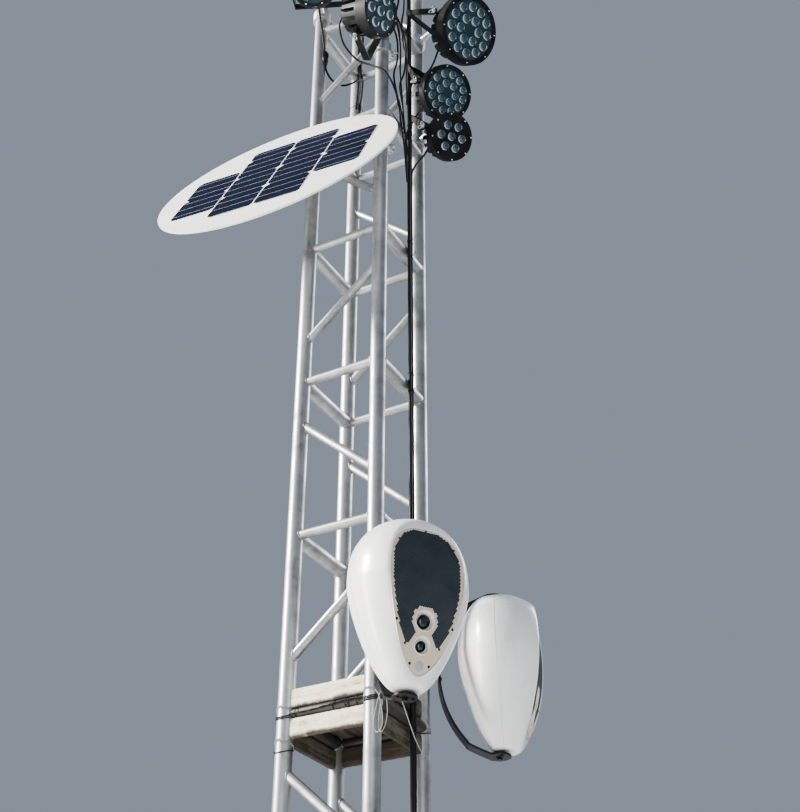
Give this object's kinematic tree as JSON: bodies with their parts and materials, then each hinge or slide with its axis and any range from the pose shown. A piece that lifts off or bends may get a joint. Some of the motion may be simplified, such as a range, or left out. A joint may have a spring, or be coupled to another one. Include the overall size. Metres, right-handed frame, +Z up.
{
  "type": "lattice mast with siren loudspeakers and floodlights",
  "caption": "Tall box lattice mast of welded tube that carries swivelling egg shaped siren loudspeakers, tilting floodlights and a round solar board.",
  "frame": {"origin": "centre of the base plate's underside, on the ground", "axes": "+Z up along the mast, the braced front faces -Y"},
  "size_m": [0.9592, 0.9276, 6.108],
  "materials": {
    "tube": "mill finish, slightly dull",
    "base_steel": "galvanised",
    "timber": "weathered, once whitewashed",
    "black_steel": "satin black",
    "white_board": "white laminate",
    "solar_cell": "dark blue silicon under clear film",
    "cable": "matte black",
    "white_shell": "glossy white",
    "grille": "perforated sheet, satin",
    "cream_panel": "satin",
    "black_casting": "satin black",
    "cast_clamp": "cast, bright",
    "dark_lens": "dark glass",
    "lens": "clear lenses over dark reflectors"
  },
  "bodies": {
    "mast": {"base_plate": "base_steel", "chord_left_front": "tube", "chord_right_front": "tube", "chord_left_back": "tube", "chord_right_back": "tube", "front_lattice": "tube", "back_lattice": "tube", "left_rungs": "tube", "right_rungs": "tube", "collar_front_planks": "timber", "collar_back_planks": "timber", "collar_left_planks": "timber", "collar_right_planks": "timber", "front_pod_yoke": "black_steel", "right_pod_yoke": "black_steel", "solar_board": "white_board", "solar_cells": "solar_cell", "solar_bracket": "black_steel", "chord_clamps": "cast_clamp", "power_cables": "cable", "floodlight_1_yoke": "black_steel", "floodlight_2_yoke": "black_steel", "floodlight_3_yoke": "black_steel", "floodlight_4_yoke": "black_steel", "floodlight_5_yoke": "black_steel"},
    "front_pod": {"front_pod_shell": "white_shell", "front_pod_grille": "grille", "front_pod_sensor_panel": "cream_panel", "front_pod_lenses": "dark_lens"},
    "right_pod": {"right_pod_shell": "white_shell", "right_pod_grille": "grille", "right_pod_sensor_panel": "cream_panel", "right_pod_lenses": "dark_lens"},
    "floodlight_1": {"floodlight_1_head": "black_casting", "floodlight_1_lenses": "lens"},
    "floodlight_2": {"floodlight_2_head": "black_casting", "floodlight_2_lenses": "lens"},
    "floodlight_3": {"floodlight_3_head": "black_casting", "floodlight_3_lenses": "lens"},
    "floodlight_4": {"floodlight_4_head": "black_casting", "floodlight_4_lenses": "lens"},
    "floodlight_5": {"floodlight_5_head": "black_casting", "floodlight_5_lenses": "lens"}
  },
  "joints": [
    {"name": "front_pod_swivel", "type": "hinge", "parent": "mast", "child": "front_pod", "pos_m": [0.28352, -0.2515, 3.24796], "axis": [0, 0, 1], "range_deg": [-24, 22]},
    {"name": "right_pod_swivel", "type": "hinge", "parent": "mast", "child": "right_pod", "pos_m": [0.29843, 0.23001, 3.24796], "axis": [0, 0, 1], "range_deg": [-16, 36]},
    {"name": "floodlight_1_tilt", "type": "hinge", "parent": "mast", "child": "floodlight_1", "pos_m": [-0.05826, -0.28139, 5.6362], "axis": [0.9135, 0.4067, 0], "range_deg": [-60, 20]},
    {"name": "floodlight_2_tilt", "type": "hinge", "parent": "mast", "child": "floodlight_2", "pos_m": [0.15565, -0.28949, 5.37394], "axis": [0.3772, 0.0665, 0.9237], "range_deg": [-40, 20]},
    {"name": "floodlight_3_tilt", "type": "hinge", "parent": "mast", "child": "floodlight_3", "pos_m": [0.33165, 0.06443, 5.54896], "axis": [0.2924, 0.9563, 0], "range_deg": [-60, 40]},
    {"name": "floodlight_4_tilt", "type": "hinge", "parent": "mast", "child": "floodlight_4", "pos_m": [0.24482, 0.07206, 5.28572], "axis": [0.4226, 0.9063, 0], "range_deg": [-60, 40]},
    {"name": "floodlight_5_tilt", "type": "hinge", "parent": "mast", "child": "floodlight_5", "pos_m": [0.26295, 0.06361, 5.06096], "axis": [0.4226, 0.9063, 0], "range_deg": [-60, 40]}
  ]
}
